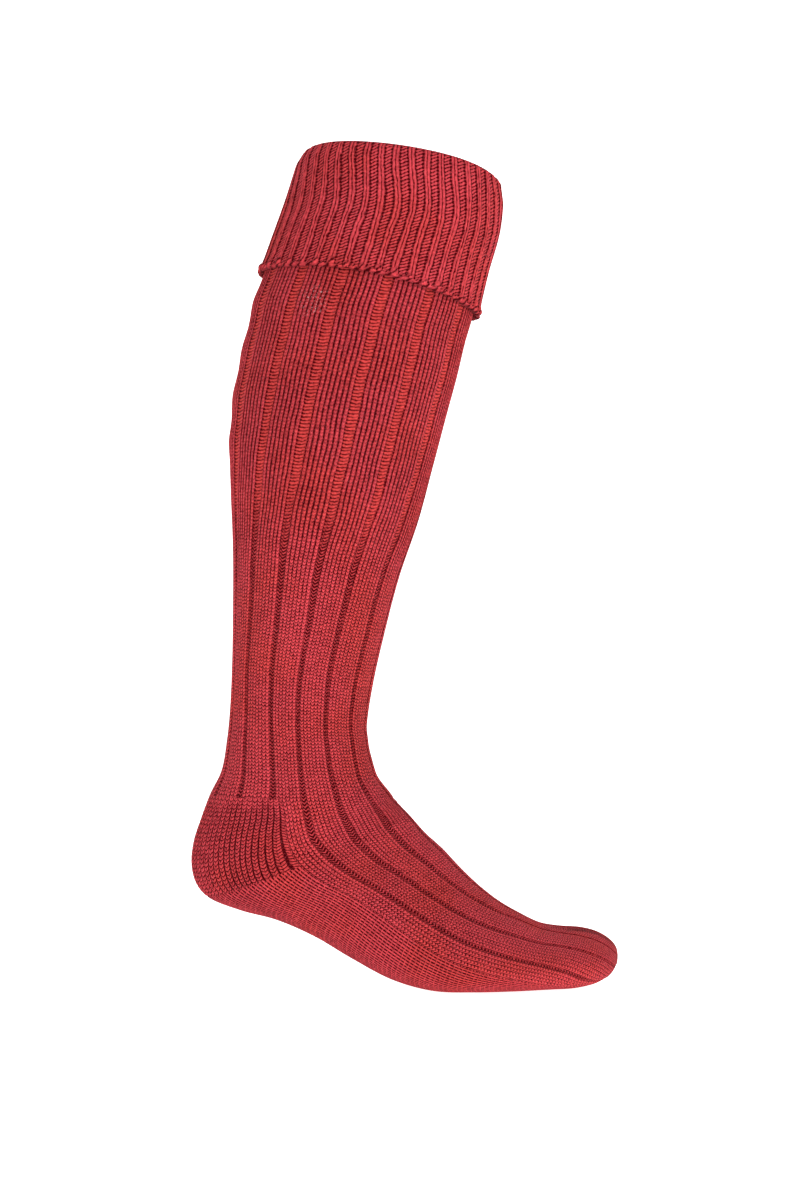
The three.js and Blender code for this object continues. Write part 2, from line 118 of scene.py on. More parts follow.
# Sections along the foot: soleX, soleZ, topX, topZ, width, waist, topSquare, soleSquare,
# middle, outer, inner
FOOT = [
    (0.044, 1, 0.466, 1, 0.725, 0.5, 2.05, 2, 0.012, 0.288, 0.312),
    (0.022, 0.87, 0.48, 0.961, 0.725, 0.5, 2.05, 2.05, 0.018, 0.277, 0.302),
    (0.005, 0.751, 0.487, 0.943, 0.72, 0.5, 2.05, 2.1, 0.024, 0.267, 0.296),
    (0, 0.637, 0.494, 0.925, 0.715, 0.49, 2.05, 2.15, 0.026, 0.26, 0.291),
    (0.011, 0.538, 0.502, 0.907, 0.715, 0.48, 2.05, 2.2, 0.023, 0.255, 0.288),
    (0.038, 0.468, 0.513, 0.881, 0.725, 0.47, 2.05, 2.25, 0.018, 0.253, 0.286),
    (0.112, 0.403, 0.547, 0.795, 0.745, 0.45, 2.05, 2.35, 0.009, 0.254, 0.285),
    (0.197, 0.356, 0.589, 0.709, 0.775, 0.42, 2.05, 2.45, 0.004, 0.254, 0.285),
    (0.286, 0.273, 0.63, 0.611, 0.82, 0.4, 2.05, 2.5, 0.006, 0.25, 0.285),
    (0.372, 0.164, 0.672, 0.52, 0.875, 0.38, 2.05, 2.55, 0.016, 0.244, 0.285),
    (0.465, 0.059, 0.723, 0.429, 0.935, 0.38, 2.1, 2.6, 0.038, 0.243, 0.285),
    (0.558, 0.005, 0.775, 0.359, 0.985, 0.4, 2.1, 2.6, 0.07, 0.245, 0.287),
    (0.651, 0, 0.826, 0.301, 1, 0.42, 2.15, 2.6, 0.09, 0.249, 0.29),
    (0.745, 0.003, 0.874, 0.278, 0.985, 0.44, 2.2, 2.6, 0.1, 0.255, 0.295),
    (0.827, 0.005, 0.917, 0.268, 0.935, 0.46, 2.25, 2.5, 0.1, 0.264, 0.3),
    (0.89, 0.005, 0.951, 0.249, 0.855, 0.47, 2.2, 2.4, 0.09, 0.285, 0.31),
    (0.939, 0.018, 0.976, 0.221, 0.73, 0.48, 2.1, 2.3, 0.09, 0.295, 0.31),
    (0.972, 0.042, 0.994, 0.187, 0.58, 0.48, 2.05, 2.2, 0.09, 0.295, 0.31),
    (0.99, 0.07, 1.002, 0.158, 0.42, 0.49, 2, 2.1, 0.09, 0.295, 0.31),
    (1.002, 0.104, 1.005, 0.127, 0.26, 0.5, 2, 2, 0.09, 0.295, 0.31),
]
# Where the sunk bands lie on the outer side at each row, from the front, in thousandths of half
# the way round. On the leg: bands 1 to 7
LEG_BANDS = [
    (3, 150, 295, 437, 575, 712, 855),
    (3, 150, 295, 437, 575, 712, 855),
    (3, 150, 295, 437, 575, 712, 855),
    (3, 150, 295, 437, 575, 712, 855),
    (3, 150, 295, 437, 575, 712, 855),
    (4, 150, 295, 437, 575, 712, 855),
    (6, 150, 295, 437, 575, 712, 855),
    (12, 156, 300, 440, 580, 718, 860),
    (27, 170, 315, 455, 603, 738, 878),
    (47, 190, 335, 475, 620, 757, 895),
    (58, 200, 350, 485, 625, 768, 905),
    (66, 210, 360, 496, 635, 779, 914),
    (58, 202, 350, 490, 625, 774, 912),
    (50, 192, 342, 482, 615, 768, 910),
    (47, 190, 335, 477, 608, 760, 908),
    (50, 190, 335, 475, 604, 756, 906),
]
# On the foot: bands 1 to 4 and the edge of the instep
FOOT_BANDS = [
    (50, 190, 335, 475, 565),
    (35, 172, 320, 455, 543),
    (28, 160, 302, 437, 528),
    (21, 152, 290, 425, 517),
    (20, 152, 287, 412, 512),
    (25, 158, 290, 410, 513),
    (35, 168, 299, 414, 517),
    (44, 174, 301, 416, 515),
    (40, 168, 292, 408, 510),
    (24, 150, 275, 393, 502),
    (-5, 120, 255, 382, 497),
    (-45, 78, 235, 378, 500),
    (-95, 45, 226, 390, 515),
    (-140, 40, 240, 425, 545),
    (-140, 70, 280, 472, 590),
    (-140, 95, 312, 525, 650),
    (-150, 110, 345, 590, 735),
    (-160, 130, 400, 690, 840),
    (-170, 160, 480, 800, 930),
    (-180, 200, 560, 880, 970),
]

# The CAD form

INWARD_FROM = MITRE_ROW - HEEL_ROW
INWARD_OVER = len(FOOT) - 1 - INWARD_FROM
GROUND = -LEG_DROP - HEEL_LINE_HEIGHT
HEEL_X = -LEG_LEAN - (FOOT[0][0] + FOOT[0][2]) / 2 * FOOT_LENGTH


def section_table():
    rows = []
    for k, (down, lean, tilt, depth, width, middle) in enumerate(LEG + LOW_LEG):
        calf = k < len(LEG)
        deep = depth * (CALF_DEPTH if calf else ANKLE_DEPTH) / 2
        half = width * (CALF_WIDTH if calf else ANKLE_WIDTH) / 2
        x, z = (lean - 1) * LEG_LEAN, -down * LEG_DROP
        dx, dz = math.cos(math.radians(tilt)) * deep, -math.sin(math.radians(tilt)) * deep
        reach = INSTEP_HALF / RIBS
        rows.append(
            [x - dx, z - dz, x + dx, z + dz, half, 0.5, 2, 2, 0]
            + [middle - reach, middle, middle + reach]
        )
    for k, (ax, az, bx, bz, width, waist, top, sole, middle, outer, inner) in enumerate(FOOT):
        inward = (max(0, k - INWARD_FROM) / INWARD_OVER) ** 2
        rows.append(
            [HEEL_X + ax * FOOT_LENGTH, GROUND + az * HEEL_LINE_HEIGHT]
            + [HEEL_X + bx * FOOT_LENGTH, GROUND + bz * HEEL_LINE_HEIGHT]
            + [width * FOOT_WIDTH / 2, waist, top, sole, inward, -outer, middle, inner]
        )
    return np.array(rows, float)


NO_STEP = 1e-4  # two points closer than this are the same point


class Curve:
    """A smooth curve through a list of points, one for each row."""

    def __init__(self, points):
        ends = np.vstack([2 * points[0] - points[1], points, 2 * points[-1] - points[-2]])
        steps = np.sum(np.diff(ends, axis=0) ** 2, axis=1)[:, None] ** 0.25
        before, here, there, after = ends[:-3], ends[1:-2], ends[2:-1], ends[3:]
        d0, d1, d2 = steps[:-2], steps[1:-1], steps[2:]
        d1 = np.where(d1 < NO_STEP, 1, d1)
        d0 = np.where(d0 < NO_STEP, d1, d0)
        d2 = np.where(d2 < NO_STEP, d1, d2)
        self.here, self.there = here, there
        self.leaving = ((here - before) / d0 - (there - before) / (d0 + d1)) * d1 + there - here
        self.arriving = ((after - there) / d2 - (after - here) / (d1 + d2)) * d1 + there - here

    def __call__(self, rows):
        rows = np.asarray(rows, float)
        k = np.clip(np.floor(rows).astype(int), 0, len(self.here) - 1)
        t = (rows - k)[:, None]
        here, leaving, arriving = self.here[k], self.leaving[k], self.arriving[k]
        gap = self.there[k] - here
        square, cube = 3 * gap - 2 * leaving - arriving, leaving + arriving - 2 * gap
        return here + leaving * t + square * t**2 + cube * t**3


TABLE = section_table()
back_curve = Curve(TABLE[:, 0:2])
front_curve = Curve(TABLE[:, 2:4])
half_curve = Curve(TABLE[:, 4:6])
square_curve = Curve(TABLE[:, 6:9])
rib_curve = Curve(TABLE[:, 9:12])
TURNS = np.linspace(0, math.pi, 97)
SMALL_TURN = 1 / 360  # share of the way round
SMALL_STEP = 0.05  # of a row


class Sections:
    """The sock's sections at some rows."""

    def __init__(self, rows):
        rows = np.clip(np.asarray(rows, float), 0, TIP_ROW)
        self.back = back_curve(rows)
        span = front_curve(rows) - self.back
        self.depth = np.hypot(span[:, 0], span[:, 1])[:, None]
        self.along = span / self.depth
        self.half, self.waist = (c[:, None] for c in half_curve(rows).T)
        self.top, self.sole, self.inward = (c[:, None] for c in square_curve(rows).T)
        self.ribs = rib_curve(rows)
        level, side = self.outline(np.tile(TURNS, (len(rows), 1)))
        steps = np.hypot(np.diff(level, axis=1), np.diff(side * self.half, axis=1))
        self.lengths = np.hstack([np.zeros((len(rows), 1)), np.cumsum(steps, axis=1)])
        self.perimeter = 2 * self.lengths[:, -1]

    def outline(self, turn):
        forward, sideways = np.cos(turn), np.sin(turn)
        power = 2 / np.where(forward >= 0, self.top, self.sole)
        reach = np.where(forward >= 0, 1 - self.waist, self.waist) * self.depth
        level = self.waist * self.depth + reach * np.sign(forward) * np.abs(forward) ** power
        return level, np.sign(sideways) * np.abs(sideways) ** power

    def points(self, shares):
        part = shares - np.round(shares)
        turn = np.empty(part.shape)
        for i, lengths in enumerate(self.lengths):
            turn[i] = np.interp(np.abs(part[i]) * 2 * lengths[-1], lengths, TURNS)
        level, side = self.outline(np.where(part < 0, -turn, turn))
        level = level * (1 + INNER_RISE * self.inward * side)
        x = self.back[:, :1] + self.along[:, :1] * level
        x = x + self.half * side * TOE_SLANT * self.inward
        y = self.half * side + TOE_SWING * self.inward
        z = self.back[:, 1:] + self.along[:, 1:] * level
        return np.stack([x, np.broadcast_to(y, x.shape), z], axis=-1)


def raised(rows, shares, heights):
    """Points at a height above the sock's outer surface, in the section's own plane."""
    rows = np.asarray(rows, float)
    sections = Sections(rows)
    points = sections.points(shares)
    around = sections.points(shares + SMALL_TURN) - sections.points(shares - SMALL_TURN)
    after = np.clip(rows + SMALL_STEP, 2 * SMALL_STEP, TIP_ROW)
    along = Sections(after).points(shares) - Sections(after - 2 * SMALL_STEP).points(shares)
    outward = np.cross(along, around)
    outward /= np.linalg.norm(outward, axis=-1, keepdims=True) + 1e-9
    normal = np.stack([-sections.along[:, 1], 0 * sections.along[:, 0], sections.along[:, 0]], -1)
    outward -= np.sum(outward * normal[:, None], axis=-1, keepdims=True) * normal[:, None]
    outward /= np.linalg.norm(outward, axis=-1, keepdims=True) + 1e-9
    return points + outward * np.broadcast_to(heights, shares.shape)[..., None]


FINE_ROWS = np.linspace(0, TIP_ROW, 40 * TIP_ROW + 1)


def length_along(share):
    """Distance down the sock at each fine row, on the line at one place round it."""
    points = Sections(FINE_ROWS).points(np.full((len(FINE_ROWS), 1), share))[:, 0]
    steps = np.linalg.norm(np.diff(points, axis=0), axis=1)
    return np.concatenate([[0], np.cumsum(steps)])


# Down the outer side, along the instep's outer part, and down behind the heel
SIDE_LENGTH = length_along(-0.25)
INSTEP_LENGTH = length_along(-0.2)
HEEL_LENGTH = length_along(-0.42)
middles = Sections(FINE_ROWS)
centres = middles.back + middles.along * middles.depth / 2
MIDDLE_LENGTH = np.concatenate([[0], np.cumsum(np.linalg.norm(np.diff(centres, axis=0), axis=1))])


def spaced_rows(first, last, count, lengths):
    """Rows at even distances along the sock."""
    ends = np.interp([first, last], FINE_ROWS, lengths)
    return np.interp(np.linspace(*ends, count), lengths, FINE_ROWS)


def row_below_mouth(distance):
    return np.interp(distance, MIDDLE_LENGTH, FINE_ROWS)


def ease(low, high, value):
    t = np.clip((value - low) / (high - low), 0, 1)
    return t * t * (3 - 2 * t)


# Ribs

ANKLE_PERIMETER = Sections([12]).perimeter[0]


def band_width(sections):
    return BAND_WIDTH + np.maximum(0, sections.perimeter - ANKLE_PERIMETER) / RIBS * BAND_GIVE


def band_places(rows, sections, foot):
    """Shares of the sunk bands' middles at each row, from rib -7.5 or -4.5 on."""
    known = np.array(FOOT_BANDS if foot else LEG_BANDS, float) / -2000
    first = HEEL_ROW if foot else 0
    near = Curve(known)(rows - first)
    middle, inner = sections.ribs[:, 1:].T
    if foot:
        far = [middle + (k + 0.5) / INSTEP_HALF * (inner - middle) for k in range(5)]
        last = near[:, 3] - (near[:, 3] - near[:, 4]) / (INSTEP_HALF - 3.5)
        columns = [last] + [near[:, k] for k in (3, 2, 1, 0)] + far
    else:
        far = [middle + (k + 0.5) / RIBS for k in range(7)]
        columns = [far[6] - 1] + [near[:, k] for k in range(6, -1, -1)] + far
        columns.append(near[:, 6] + 1)
    return np.stack(columns, axis=1)


def wale_shares(rows, sections, wales, foot):
    """Where stitches lie round the sock. wales counts them from the middle of the front rib."""
    places = band_places(rows, sections, foot)
    first = -4.5 if foot else -7.5
    rib = wales / WALES - first
    k = np.clip(np.floor(rib).astype(int), 0, places.shape[1] - 2)
    within = (rib - k) * WALES
    low, high = places[:, k], places[:, k + 1]
    pitch = (high - low) * sections.perimeter[:, None]
    band = np.minimum(band_width(sections)[:, None] / 2 / pitch, 0.3)
    panel = band + (within - 1) / (WALES - 2) * (1 - 2 * band)
    share = np.where(within < 1, within * band, panel)
    share = np.where(within > WALES - 1, 1 - (WALES - within) * band, share)
    return low + share * (high - low)


def stretch_of(sections):
    """How far the knitting is pulled open, from 0 at the ankle to 1 at the calf."""
    return ease(CLOSED_RIB, OPEN_RIB, sections.perimeter / RIBS)


def knit_relief(wales, sections, openness):
    """Height of plain stitches and sunk bands."""
    off = np.abs((wales / WALES) - np.round(wales / WALES - 0.5) - 0.5) * WALES
    pulled = openness[:, None]
    width = band_width(sections)[:, None]
    sunk = BAND_DEPTH * (BAND_WIDTH / width) * (1 - ease(0.6, 1.25, off))
    cord = (0.12 + 0.34 * pulled) * (np.abs(np.cos(math.pi * wales)) ** 0.8 - 1)
    cord = cord * ease(0.8, 1.2, off) - 0.25 * pulled * (1 - ease(0.8, 1.2, off))
    puff = (0.42 - 0.22 * pulled) * (np.maximum(0, 4.5 - off) / 3.5) ** 2 * ease(0.4, 1.4, off)
    return cord - sunk - puff


# Meshes

MM = 0.001
FACE_CORNERS = [(0, 0), (1, 0), (1, 1), (0, 1)]
OUTER_AREA = (0, 0.1, 1, 1)  # of the texture
INNER_AREA = (0, 0, 1, 0.09)


class Fabric:
    """The mesh of one piece, gathered sheet by sheet."""

    def __init__(self, name):
        self.name = name
        self.sheets = []

    def sheet(self, points, u, v, area, slot=0, wrap=False, flip=False, stretch=0, dark=0):
        """area is the sheet's part of the texture. u has one column more than points if it wraps."""
        rows, columns = points.shape[:2]

        def fill(value):
            return np.broadcast_to(np.asarray(value, float), (rows, columns)).ravel()

        self.sheets.append(
            {
                "points": points,
                "u": np.broadcast_to(u, (rows, columns + wrap)),
                "v": np.broadcast_to(v, (rows, columns + wrap)),
                "area": area,
                "slot": slot,
                "wrap": wrap,
                "flip": flip,
                "stretch": fill(stretch),
                "dark": fill(dark),
            }
        )

    def build(self, materials, node):
        base = 0
        corners, knit, bake, slots = [], [], [], []
        for sheet in self.sheets:
            rows, columns = sheet["points"].shape[:2]
            across = columns if sheet["wrap"] else columns - 1
            i, j = np.meshgrid(np.arange(rows - 1), np.arange(across), indexing="ij")
            i, j = i.ravel(), j.ravel()
            order = FACE_CORNERS[::-1] if sheet["flip"] else FACE_CORNERS
            ends = [(i + a, j + b) for a, b in order]
            corners.append(np.stack([base + m * columns + n % columns for m, n in ends], 1))
            u, v = (np.stack([sheet[axis][m, n] for m, n in ends], 1) for axis in "uv")
            knit.append(np.stack([u, v], -1))
            x0, y0, x1, y1 = sheet["area"]
            wide = [x0 + (x1 - x0) * n / across for m, n in ends]
            high = [y0 + (y1 - y0) * m / (rows - 1) for m, n in ends]
            bake.append(np.stack([np.stack(wide, 1), np.stack(high, 1)], -1))
            slots.append(np.full(len(i), sheet["slot"]))
            base += rows * columns
        points = np.concatenate([sheet["points"].reshape(-1, 3) for sheet in self.sheets]) * MM
        corners = np.concatenate(corners)
        mesh = bpy.data.meshes.new(self.name)
        mesh.vertices.add(len(points))
        mesh.vertices.foreach_set("co", points.astype(np.float32).ravel())
        mesh.loops.add(corners.size)
        mesh.loops.foreach_set("vertex_index", corners.astype(np.int32).ravel())
        mesh.polygons.add(len(corners))
        mesh.polygons.foreach_set("loop_start", np.arange(0, corners.size, 4, dtype=np.int32))
        mesh.polygons.foreach_set("material_index", np.concatenate(slots).astype(np.int32))
        mesh.update(calc_edges=True)
        mesh.polygons.foreach_set("use_smooth", np.ones(len(corners), bool))
        for name, data in (("OFBake", bake), ("knit", knit)):
            layer = mesh.uv_layers.new(name=name)
            layer.data.foreach_set("uv", np.concatenate(data).astype(np.float32).ravel())
        for key in ("stretch", "dark"):
            values = np.concatenate([sheet[key] for sheet in self.sheets])
            attribute = mesh.attributes.new(key, "FLOAT", "POINT")
            attribute.data.foreach_set("value", values.astype(np.float32))
        for material in materials:
            mesh.materials.append(material)
        mesh.update()
        obj = bpy.data.objects.new(self.name, mesh)
        bpy.context.scene.collection.objects.link(obj)
        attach(obj, "root")
        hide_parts(node)


# Materials


class Graph:
    """Shader nodes of one material, written as sums."""

    def __init__(self, name):
        self.material = bpy.data.materials.new(name)
        self.material.use_nodes = True
        self.tree = self.material.node_tree
        self.tree.nodes.clear()

    def node(self, kind, inputs=None, **settings):
        node = self.tree.nodes.new(kind)
        for key, value in settings.items():
            setattr(node, key, value)
        for key, value in (inputs or {}).items():
            self.put(node.inputs[key], value)
        return node

    def put(self, socket, value):
        if isinstance(value, bpy.types.NodeSocket):
            self.tree.links.new(value, socket)
        else:
            socket.default_value = value

    def math(self, operation, *values):
        node = self.node("ShaderNodeMath", operation=operation)
        for k, value in enumerate(values):
            self.put(node.inputs[k], value)
        return node.outputs[0]

    def add(self, a, b):
        return self.math("ADD", a, b)

    def sub(self, a, b):
        return self.math("SUBTRACT", a, b)

    def mul(self, a, b):
        return self.math("MULTIPLY", a, b)

    def fract(self, a):
        return self.math("FRACT", a)

    def bump_of(self, a):
        """0 at each whole number, 1 half way between."""
        away = self.math("ABSOLUTE", self.sub(self.mul(self.fract(a), 2), 1))
        return self.sub(1, self.math("POWER", away, 2))

    def ease(self, value, low, high):
        node = self.node("ShaderNodeMapRange", interpolation_type="SMOOTHSTEP")
        for k, x in enumerate((value, low, high, 0, 1)):
            self.put(node.inputs[k], x)
        return node.outputs[0]

    def blend(self, share, a, b):
        return self.add(self.mul(self.sub(1, share), a), self.mul(share, b))

    def limit(self, value):
        """Darkness between the palest stitch and the deepest gap."""
        return self.math("MINIMUM", self.math("MAXIMUM", value, PALEST), 1.0)

    def attribute(self, name):
        return self.node("ShaderNodeAttribute", attribute_name=name).outputs["Fac"]

    def colour(self, share, a, b):
        node = self.node("ShaderNodeMix", data_type="RGBA", clamp_factor=False)
        self.put(node.inputs[0], share)
        self.put(node.inputs[6], a)
        self.put(node.inputs[7], b)
        return node.outputs[2]

    def noise(self, vector, scale, detail=2):
        return self.node(
            "ShaderNodeTexNoise", {"Vector": vector, "Scale": scale, "Detail": detail}
        ).outputs["Fac"]


def srgb(r, g, b):
    def linear(c):
        return c / 255 / 12.92 if c <= 10 else ((c / 255 + 0.055) / 1.055) ** 2.4

    return (linear(r), linear(g), linear(b), 1)


YARN = srgb(203, 66, 74)
YARN_WARM = srgb(202, 63, 58)
YARN_DEEP = srgb(68, 0, 5)
FIBRE = srgb(214, 122, 132)
PALE_FIBRE = srgb(236, 196, 196)
SHEEN = (1.0, 0.5, 0.56, 1)
# below 0, darkness paints a highlight on the lit tops of stitches
PALEST = -0.25  # darkness of the palest stitch
GRAIN_SCALE = 2600
# What makes the yarn uneven: noise scale, detail and how much it darkens
UNEVEN = ((620, 2, 1.3), (GRAIN_SCALE, 2, 0.4), (24, 3, 0.3), (90, 2, 0.22))
THIN_SPOT = (-0.051, -0.05, -0.0875)  # on the outer side, below the cuff


def ribbed_pattern(g, u, v):
    """Plain stitches between sunk bands. Gives the height, the darkness (painted shade in the gaps and
    sunk bands, painted highlight on the stitches' lit tops) and how warm the dye is.
    """
    stretch = g.attribute("stretch")
    place = g.math("WRAP", g.sub(u, WALES / 2), WALES / 2, -WALES / 2)
    off = g.math("ABSOLUTE", place)
    x = g.mul(g.math("PINGPONG", u, 0.5), 2)
    shift = g.mul(g.math("SINE", g.mul(g.math("ROUND", u), 2.4)), 0.16)
    legs = g.bump_of(g.add(g.add(v, shift), g.mul(x, 0.6)))
    between = g.ease(x, 0.55, 0.95)
    leaf = g.mul(legs, g.sub(1, g.mul(between, 0.55)))
    lit = g.ease(leaf, 0.25, 0.8)
    rung = g.bump_of(g.add(v, 0.5))
    # painted shade in the gaps between the stitches, and a painted highlight on their lit legs
    cord_gap = g.mul(g.ease(x, 0.45, 0.85), g.add(0.55, g.mul(rung, 0.85)))
    cord_dark = g.math("MAXIMUM", cord_gap, g.mul(g.sub(1, legs), 0.55))
    plain_dark = g.blend(stretch, g.sub(0.96, g.mul(lit, 1.06)), g.add(cord_dark, 0.16))
    plain = g.blend(stretch, leaf, g.sub(1, g.mul(x, x)))
    # the band: chevrons when it is closed, fine slanting stitches when it is open
    chevron = g.bump_of(g.add(v, g.mul(off, 0.9)))
    # painted shade darkens the sunk band
    closed = g.sub(1.6, g.mul(g.ease(chevron, 0.7, 0.97), 1.35))
    hatch = g.bump_of(g.add(g.add(v, g.mul(off, 0.2)), g.mul(place, 0.3)))
    side = g.ease(place, -0.35, 0.35)
    opened = g.mul(g.sub(0.95, g.mul(hatch, 1.0)), g.blend(side, 1.2, 0.85))
    edge_row = g.mul(g.ease(off, 0.7, 1.0), g.mul(rung, 1.2))
    opened = g.add(g.math("MAXIMUM", opened, edge_row), 0.12)
    band_dark = g.blend(stretch, closed, opened)
    band_height = g.blend(stretch, g.mul(chevron, 0.5), g.add(0.45, g.mul(hatch, 0.4)))
    edge = g.blend(stretch, 0.66, 1.0)
    band = g.sub(1, g.ease(off, edge, g.add(edge, 0.18)))
    height = g.blend(band, plain, band_height)
    dark = g.blend(band, g.limit(plain_dark), band_dark)
    # the stitches next to a band, on one side, stand up as a cord with a painted highlight
    beside_highlight = g.mul(g.ease(place, -1.8, -1.5), g.sub(1, g.ease(place, -1.1, -0.9)))
    dark = g.sub(dark, g.mul(beside_highlight, g.blend(stretch, 0.22, 0.05)))
    return height, dark, g.mul(g.mul(band, stretch), 0.8)


def braid_pattern(g, u, v):
    """Coarse columns of the heel, which the mesh already has as relief."""
    x = g.mul(g.math("PINGPONG", u, 0.5), 2)
    legs = g.bump_of(g.add(v, g.mul(x, 0.55)))
    lit = g.ease(legs, 0.2, 0.85)
    fade = g.attribute("stretch")
    rung = g.bump_of(g.add(v, 0.3))
    gap = g.mul(g.ease(x, 0.66, 0.9), g.blend(fade, g.add(0.6, g.mul(rung, 0.8)), g.mul(rung, 0.9)))
    middle = g.mul(g.sub(1, g.ease(x, 0.0, 0.2)), g.mul(rung, 0.9))
    # painted shade in the gaps and on the unlit parts of the loops
    dark = g.math("MAXIMUM", gap, g.sub(1.1, g.mul(lit, 1.2)))
    dark = g.add(g.math("MAXIMUM", dark, middle), 0.1)
    height = g.mul(g.sub(1, g.mul(x, x)), g.add(0.4, g.mul(legs, 0.6)))
    return height, dark, 0.0


def purl_pattern(g, u, v):
    """Reverse stitches: short dashes in staggered rows."""
    line = g.math("FLOOR", u)
    across = g.fract(u)
    step = g.add(g.add(v, g.mul(line, 0.4)), g.mul(across, 0.3))
    ridge = g.bump_of(u)
    bead = g.bump_of(step)
    height = g.mul(g.add(0.35, g.mul(ridge, 0.65)), g.sub(1, g.mul(bead, 0.6)))
    # the dashes are painted shade in the low gaps between the ridges
    dash = g.mul(g.sub(1, g.ease(ridge, 0.4, 0.9)), g.ease(bead, 0.15, 0.6))
    return height, g.add(g.mul(dash, 1.7), 0.07), 0.0


def cuff_pattern(g, u, v):
    """Twin cords and slanting stitches between them. u counts the cuff's ribs."""
    place = g.math("ABSOLUTE", g.math("WRAP", u, 0.5, -0.5))  # 0 between the two cords
    cords = g.sub(1, g.ease(place, 0.17, 0.23))
    rung = g.bump_of(v)
    across = g.math("DIVIDE", g.math("ABSOLUTE", g.sub(place, 0.105)), 0.1)
    # painted shade on the cords' flanks and in the gaps between the slanting stitches
    cord_dark = g.mul(g.ease(across, 0.4, 1.05), g.add(0.62, g.mul(rung, 0.35)))
    side = g.math("WRAP", g.add(u, 0.5), 0.5, -0.5)
    hatch = g.bump_of(g.add(v, g.mul(side, 2.6)))
    columns = g.bump_of(g.math("DIVIDE", side, 0.18))
    dot = g.mul(g.sub(1, g.ease(hatch, 0.3, 0.9)), g.sub(1, g.mul(columns, 0.55)))
    band_dark = g.add(0.05, g.mul(dot, 1.35))
    edge = g.math("ABSOLUTE", g.sub(place, 0.26))
    dots = g.mul(g.sub(1, g.ease(edge, 0.025, 0.08)), g.add(0.35, rung))
    dark = g.blend(cords, band_dark, cord_dark)
    dark = g.math("MAXIMUM", dark, dots)
    height = g.add(g.mul(cords, 0.8), g.mul(g.sub(1, cords), g.mul(hatch, 0.5)))
    return height, g.add(dark, 0.13), 0.0


def edge_pattern(g, u, v):
    """The chained cord that binds the cuff."""
    loop = g.bump_of(g.add(u, g.mul(v, 1.1)))
    height = g.mul(loop, 0.8)
    # painted shade between the cord's loops
    dark = g.add(g.mul(g.sub(1, g.ease(loop, 0.2, 0.8)), 0.85), 0.12)
    return height, dark, 0.0


def yarn_material(name, pattern, depth, worn_at=None):
    """depth is how deep the pattern's bump looks, in millimetres."""
    g = Graph(name)
    uv = g.node("ShaderNodeUVMap", uv_map="knit").outputs[0]
    parts = g.node("ShaderNodeSeparateXYZ", {"Vector": uv})
    place = g.node("ShaderNodeTexCoord").outputs["Object"]
    # stitches are never quite even
    sway = g.sub(g.noise(place, 260, 1), 0.5)
    u = g.add(parts.outputs[0], g.mul(sway, 0.16))
    v = g.add(parts.outputs[1], g.mul(g.sub(g.noise(place, 330, 1), 0.5), 0.5))
    # the pattern's darkness is painted shade in the gaps between stitches, with a painted highlight on
    # their lit tops
    height, dark, warm = pattern(g, u, v)
    fibre = g.noise(uv, 9, 3)
    grain = g.noise(place, GRAIN_SCALE, 2)
    # add the darkness held in the mesh, mostly painted shade and painted light
    dark = g.add(dark, g.attribute("dark"))
    for scale, detail, share in UNEVEN:
        dark = g.add(dark, g.mul(g.sub(g.noise(place, scale, detail), 0.5), share))
    dark = g.limit(dark)
    # the dye is uneven, and warmer in some places
    warm = g.math("MAXIMUM", warm, g.mul(g.ease(g.noise(place, 26, 2), 0.36, 0.68), 0.6))
    colour = g.colour(warm, YARN, YARN_WARM)
    colour = g.colour(dark, colour, YARN_DEEP)
    fleck = g.mul(g.ease(g.noise(place, 1500, 1), 0.66, 0.76), 0.35)
    colour = g.colour(fleck, colour, FIBRE)
    if worn_at:
        # pale fibres show where the knitting is thin
        away = g.node(
            "ShaderNodeVectorMath", {0: place, 1: worn_at}, operation="DISTANCE"
        ).outputs["Value"]
        thin = g.mul(g.sub(1, g.ease(away, 0.004, 0.013)), g.ease(g.noise(place, 1100, 1), 0.62, 0.7))
        colour = g.colour(g.mul(thin, 0.42), colour, PALE_FIBRE)
    relief = g.add(height, g.mul(g.sub(grain, 0.5), 0.3))
    relief = g.add(relief, g.mul(g.sub(fibre, 0.5), 0.15))
    bump = g.node(
        "ShaderNodeBump", {"Strength": 0.9, "Distance": depth * MM, "Height": relief}
    ).outputs[0]
    shader = g.node(
        "ShaderNodeBsdfPrincipled",
        {
            "Base Color": colour,
            "Roughness": 0.92,
            "Specular IOR Level": 0.03,
            "Sheen Weight": 0.05,
            "Sheen Roughness": 0.45,
            "Normal": bump,
        },
    )
    shader.inputs["Sheen Tint"].default_value = SHEEN
    out = g.node("ShaderNodeOutputMaterial")
    g.tree.links.new(shader.outputs[0], out.inputs[0])
    return g.material


ribbed = yarn_material("ribbed_yarn", ribbed_pattern, 0.75, worn_at=THIN_SPOT)
braided = yarn_material("heel_yarn", braid_pattern, 0.7)
purl = yarn_material("purl_yarn", purl_pattern, 0.7)
cuff_yarn = yarn_material("cuff_yarn", cuff_pattern, 0.5)
edge_yarn = yarn_material("edge_yarn", edge_pattern, 0.5)

# Pieces

# Painted shade and painted light in the mesh, as shares of the yarn's deepest colour
UNDER_FOOT_SHADE = 0.2
TOE_STREAK_SHADE = 0.55
TOES_PAINTED_LIGHT = 0.12


def inner_sheet(fabric, rows, shares, wall, area, wrap=False):
    """The reverse face, in coarser steps."""
    points = raised(rows, shares, -wall)
    turn = shares * INSIDE_LINES
    if wrap:
        turn = np.hstack([turn, turn[:, :1] + INSIDE_LINES])
    v = np.interp(rows, FINE_ROWS, SIDE_LENGTH)[:, None] / SOLE_STITCH
    fabric.sheet(points, turn, v, area, slot=1, wrap=wrap, flip=True)


def wander(wales, length, amount):
    """How far stitches sway sideways, in millimetres."""
    return amount * (
        np.sin(length / 9.5 + wales * 0.31) + 0.6 * np.sin(length / 4.9 - wales * 0.43 + 1.3)
    )


